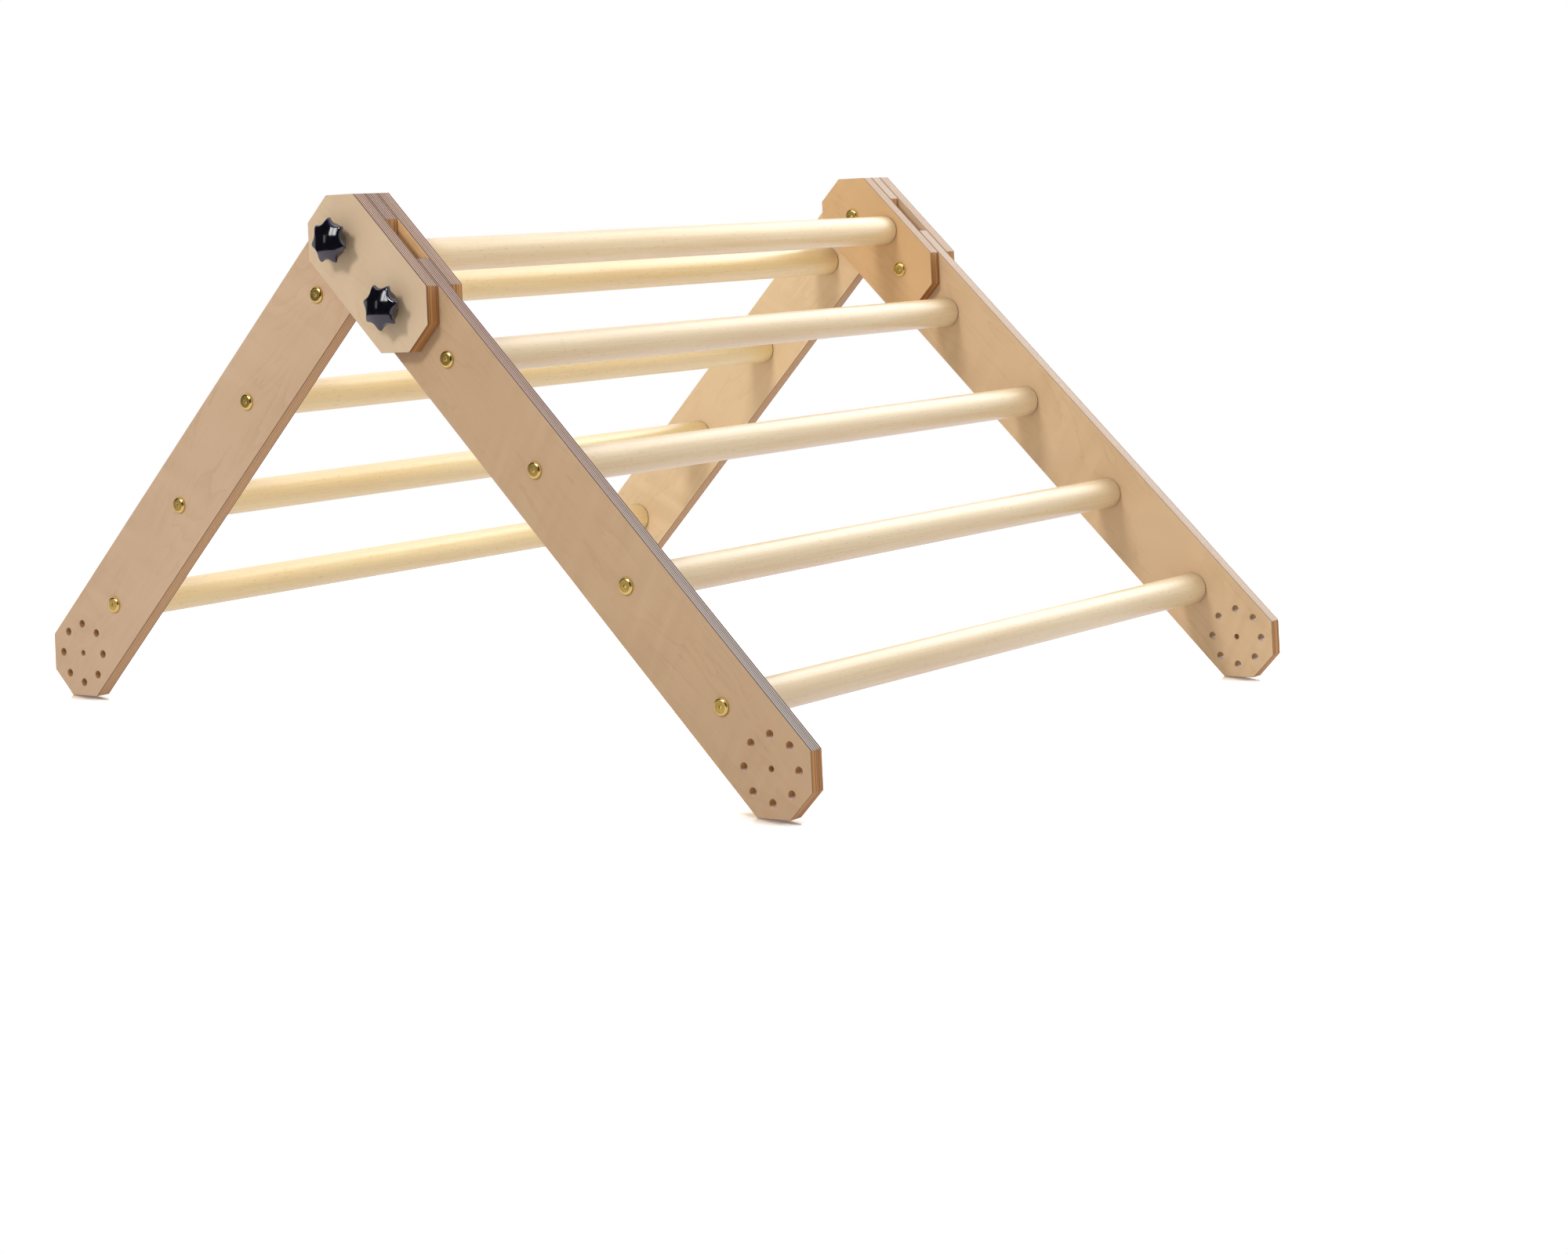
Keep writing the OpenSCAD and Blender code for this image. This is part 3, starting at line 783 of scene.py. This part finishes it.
def star_outline():
    """Radii all round of the lobes, with their tips rounded off."""
    middle = valley_floor_r + valley_r
    radii = []
    for k in range(around):
        turn = (k / around * lobes + 0.5) % 1 - 0.5
        off = (0.5 - abs(turn)) * 2 * math.pi / lobes
        radius = knob_r + tip_past
        if math.sin(off) < valley_r / middle:
            chord = math.sqrt(valley_r ** 2 - (middle * math.sin(off)) ** 2)
            radius = min(radius, middle * math.cos(off) - chord)
        radii.append(radius)
    for _ in range(smoothings):
        radii = [(radii[k - 1] + 2 * radii[k] + radii[(k + 1) % around]) / 4 for k in range(around)]
    return radii


def star_knob(name):
    """A knob standing on its foot at 0."""
    def dome(radius):
        return knob_h - face_fall * (radius / rim_reach) ** 2

    def quarter(steps):
        return [math.radians(90 * k / steps) for k in range(steps + 1)]

    # The bush's hole, the foot, the hollow back and the underside are round
    circles = [
        (0, bush_hole_h), (bush_hole_r, bush_hole_h), (bush_hole_r, small_ease),
        (bush_hole_r + small_ease, 0), (foot_r - foot_ease, 0), (foot_r - foot_ease / 3, foot_ease / 3),
        (foot_r, foot_ease), (foot_r, under_h), (foot_r, hollow_top), (hollow_r, hollow_top),
        (hollow_r, under_h + small_ease), (hollow_r + small_ease, under_h)]
    circles += [(under_r - rim_r + rim_r * math.sin(turn), under_h + rim_r * (1 - math.cos(turn)))
                for turn in quarter(4)]
    rings = [[(radius, height)] * (around if radius else 1) for radius, height in circles]

    # The sides widen into the lobes, roll over the rim, and the face turns round again towards its middle
    side_shares = (0.2, 0.4, 0.6, 0.8)
    face_shares = (0.95, 0.90, 0.84, 0.77, 0.69, 0.6, 0.5, 0.4, 0.32)
    rounding = 0.8
    tips = star_outline()
    flat = sum(tips) / around
    waist_h = under_h + rim_r
    for share in side_shares:
        rings.append([(under_r + (r - under_r) * share, waist_h + (dome(r) - rim_r - waist_h) * share)
                      for r in tips])
    for turn in quarter(8):
        inward = rim_r * (1 - math.cos(turn))
        rings.append([(r - inward, dome(r - inward) - rim_r * (1 - math.sin(turn))) for r in tips])
    for share in face_shares:
        level = [(r - rim_r + (flat - r) * (1 - share) ** rounding) * share for r in tips]
        rings.append([(radius, dome(radius)) for radius in level])
    rings.append([(face_middle_r, dome(face_middle_r))] * around)
    rings.append([(0, dome(0))])
    points, rows = [], []
    for ring in rings:
        rows.append(range(len(points), len(points) + len(ring)))
        for k, (radius, height) in enumerate(ring):
            turn = 2 * math.pi * k / around
            points.append((radius * math.cos(turn), radius * math.sin(turn), height))
    return closed_mesh(name, points, rows, around, sharp_from=55)


# Faint swirls from the mould in its colour and gloss, and a hint of orange peel
black_tones = (0.0012, 0.001, 0.003, 1), (0.004, 0.0035, 0.008, 1)
peel_depth = 0.000008
plastic, tree, skin, here = bare_material("glossy_black_plastic")
swirl, peel = [
    wire(tree, "ShaderNodeTexNoise", {"Vector": here["Object"], "Scale": waves, "Detail": detail}).outputs[0]
    for waves, detail in ((180.0, 3.0), (900.0, 1.0))]
tree.links.new(blended(tree, swirl, *black_tones), skin.inputs["Base Color"])
tree.links.new(ramped(tree, swirl, 0.3, 0.8, 0.06, 0.14), skin.inputs["Roughness"])
bump = wire(tree, "ShaderNodeBump", {"Height": times(tree, peel, peel_depth), "Distance": 1.0})
tree.links.new(bump.outputs[0], skin.inputs["Normal"])
skin.inputs["IOR"].default_value = 1.6
skin.inputs["Coat Weight"].default_value = 0.5
skin.inputs["Coat Roughness"].default_value = 0.06

for end, way in (("front", 1), ("rear", -1)):
    for side in sides:
        place = layer(bar, side, outer_face) @ Matrix.Translation((way * pivot_pitch / 2, 0, 0))
        turn = math.radians(90) * way - lean
        place = place @ Matrix.Rotation(turn, 4, "Y") @ Matrix.Rotation(math.radians(-90), 4, "X")
        knob = bpy.data.objects.new(f"knob_{end}_{side}", star_knob(f"knob_{end}_{side}"))
        bpy.context.scene.collection.objects.link(knob)
        knob.data.transform(place)
        if place.determinant() < 0:
            knob.data.flip_normals()
        knob.data.materials.append(plastic)
        fitted(knob, f"{end}_knob_{side}", "black_plastic", f"{end}_knob_{side}")
        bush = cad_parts[f"{end}_knob_bush_{side}"]
        bush.data.materials.clear()
        bush.data.materials.append(brass)


# Studio
# A plain white floor in front of a white background, with the dark of the room behind the camera. One softbox
# hangs high in front of the near side and a weaker one high behind, where a bright wall shows in the gloss
# alone. The camera stands at the photograph's place.
bpy.context.scene.view_settings.view_transform = "Standard"
world = bpy.data.worlds.new("studio")
bpy.context.scene.world = world
world.use_nodes = True
tree = world.node_tree
rays = wire(tree, "ShaderNodeLightPath").outputs
way = parted(tree, wire(tree, "ShaderNodeTexCoord").outputs["Generated"])
least = 0.01
left = sum_up(tree, "DIVIDE", way[0], sum_up(tree, "MINIMUM", way[1], -least))
rise = sum_up(tree, "DIVIDE", way[2], sum_up(tree, "MAXIMUM", times(tree, way[1], -1.0), least))


def patch(middle, half, height, half_height, soft):
    """1 inside a rectangle of the room in front, 0 outside it."""
    beside = sum_up(tree, "ABSOLUTE", minus(tree, left, middle))
    above = sum_up(tree, "ABSOLUTE", minus(tree, rise, height))
    return product(tree, ramped(tree, beside, half - soft, half + soft, 1.0, 0.0),
                   ramped(tree, above, half_height - soft, half_height + soft, 1.0, 0.0))


# What the lacquer, brass and plastic mirror: white behind, grey at the right, black in front but for a pale
# corner at the left, a door, and two windows, and a cool ceiling
dark = 0.02
behind = ramped(tree, way[1], -0.30, 0.05, dark, 1.0)
beside = ramped(tree, way[0], 0.45, 0.95, dark, 0.45)
low = ramped(tree, way[2], 0.0, 0.06, 1.0, 0.0)
corner = product(tree, ramped(tree, way[0], -0.97, -0.93, 0.7, 0.0), low)
room = sum_up(tree, "MAXIMUM", sum_up(tree, "MAXIMUM", behind, beside), corner)
room = plus(tree, room, patch(0.98, 0.09, 0.0, 0.12, 0.05))
window_light = 8.0
for middle in (0.41, 0.59):
    room = plus(tree, room, times(tree, patch(middle, 0.072, 0.30, 0.16, 0.03), window_light))
ceiling = blended(tree, ramped(tree, way[2], 0.35, 0.85, 0.0, 0.7), (0, 0, 0, 1), (0.75, 0.68, 1.2, 1))
room = blended(tree, 1.0, spot(tree, room, room, room), ceiling, "ADD")
seen = sum_up(tree, "MAXIMUM", rays["Is Camera Ray"], rays["Is Transmission Ray"])
room_light = 0.63
plain = mixed(tree, seen, room_light, 1.0)
plain = spot(tree, plain, plain, plain)
sky = tree.nodes["Background"]
sky.inputs["Strength"].default_value = 1.0
tree.links.new(blended(tree, rays["Is Glossy Ray"], plain, room), sky.inputs["Color"])

# The floor: paper that glows as white as the background, with a soft mirrored smear where a foot stands close
floor_r = 2.25
floor_t = 0.004
floor = bpy.data.objects.new("floor", turned("floor", [
    (0, -floor_t), (floor_r, -floor_t), (floor_r, 0), (0, 0)], 96))
bpy.context.scene.collection.objects.link(floor)
paper, tree, skin, here = bare_material("white_paper")
skin.inputs["Base Color"].default_value = (0.82, 0.82, 0.82, 1)
skin.inputs["Roughness"].default_value = 0.6
rays = wire(tree, "ShaderNodeLightPath").outputs
glow, fill, mirrored = [
    wire(tree, "ShaderNodeEmission", {"Color": tone, "Strength": 1.0}).outputs[0]
    for tone in ((1, 1, 1, 1), (0.6, 0.6, 0.6, 1), (0.94, 0.88, 1.0, 1))]


def either(share, low, high):
    """The floor's surface between low and high."""
    return wire(tree, "ShaderNodeMixShader", {0: share, 1: low, 2: high}).outputs[0]


# Painted contact shadow: where ambient occlusion finds a foot close, the floor turns from its glow to a
# warm-tinted mirror
contact = 0.07
open_air = wire(tree, "ShaderNodeAmbientOcclusion", {"Distance": contact}, samples=16).outputs["AO"]
tint = blended(tree, ramped(tree, open_air, 0.50, 0.66), (1.0, 0.93, 0.82, 1), (1.25, 1.27, 1.35, 1))
smear = wire(tree, "ShaderNodeBsdfGlossy", {"Color": tint, "Roughness": 0.14}).outputs[0]
lit = wire(tree, "ShaderNodeAddShader", {0: skin.outputs[0], 1: fill}).outputs[0]
shown = either(ramped(tree, open_air, 0.50, 0.80, 0.85, 0.0), lit, smear)
away = wire(tree, "ShaderNodeVectorMath", {0: here["Object"]}, operation="LENGTH").outputs["Value"]
near, far = 0.9, 1.6
shown = either(ramped(tree, away, near, far), shown, glow)
shown = either(rays["Is Transmission Ray"], shown, glow)
shown = either(rays["Is Glossy Ray"], shown, mirrored)
plain = sum_up(tree, "MAXIMUM", rays["Is Glossy Ray"], rays["Is Transmission Ray"])
plain = sum_up(tree, "MAXIMUM", plain, rays["Is Camera Ray"])
tree.links.new(either(plain, skin.outputs[0], shown), tree.nodes["Material Output"].inputs["Surface"])
floor.data.materials.append(paper)


def lamp(name, place, aim, width, power):
    """A square softbox."""
    light = bpy.data.lights.new(name, "AREA")
    light.size = width
    light.energy = power
    holder = bpy.data.objects.new(name, light)
    holder.location = place
    holder.rotation_euler = (Vector(aim) - Vector(place)).to_track_quat("-Z", "Y").to_euler()
    bpy.context.scene.collection.objects.link(holder)
    return holder


lamp("front_softbox", place=(-0.25, -3.5, 2.5), aim=(0.0, -0.45, 0.5), width=0.75, power=58)
back = lamp("back_softbox", place=(0.4, 2.4, 2.6), aim=(0.0, 0.0, 0.3), width=1.8, power=52)
back.visible_glossy = False
bright_wall = lamp("bright_wall", place=(0.15, 2.1, 1.3), aim=(0.15, 0.0, 1.3), width=1.8, power=26)
bright_wall.visible_camera = False
bright_wall.visible_diffuse = False
bright_wall.visible_transmission = False

# The camera stands where the photograph was taken from, with the lens shifted as the picture was cut
eye = (2.29527, -2.84125, 0.70554)
yaw, pitch, roll = math.radians(34.6587), math.radians(-1.0731), math.radians(0.6877)
lens = bpy.data.cameras.new("photograph")
camera = bpy.data.objects.new("photograph", lens)
bpy.context.scene.collection.objects.link(camera)
bpy.context.scene.camera = camera
lens.sensor_fit = "HORIZONTAL"
lens.sensor_width = 36
lens.lens = 72.026
lens.shift_x = -0.08669
lens.shift_y = -0.30954
lens.clip_end = 50
ahead = Vector((-math.sin(yaw) * math.cos(pitch), math.cos(yaw) * math.cos(pitch), math.sin(pitch)))
right = Vector((math.cos(yaw), math.sin(yaw), 0))
up = right.cross(ahead)
tilted_right = right * math.cos(roll) + up * math.sin(roll)
tilted_up = up * math.cos(roll) - right * math.sin(roll)
camera.matrix_world = Matrix.Translation(eye) @ Matrix(
    (tilted_right, tilted_up, -ahead)).transposed().to_4x4()
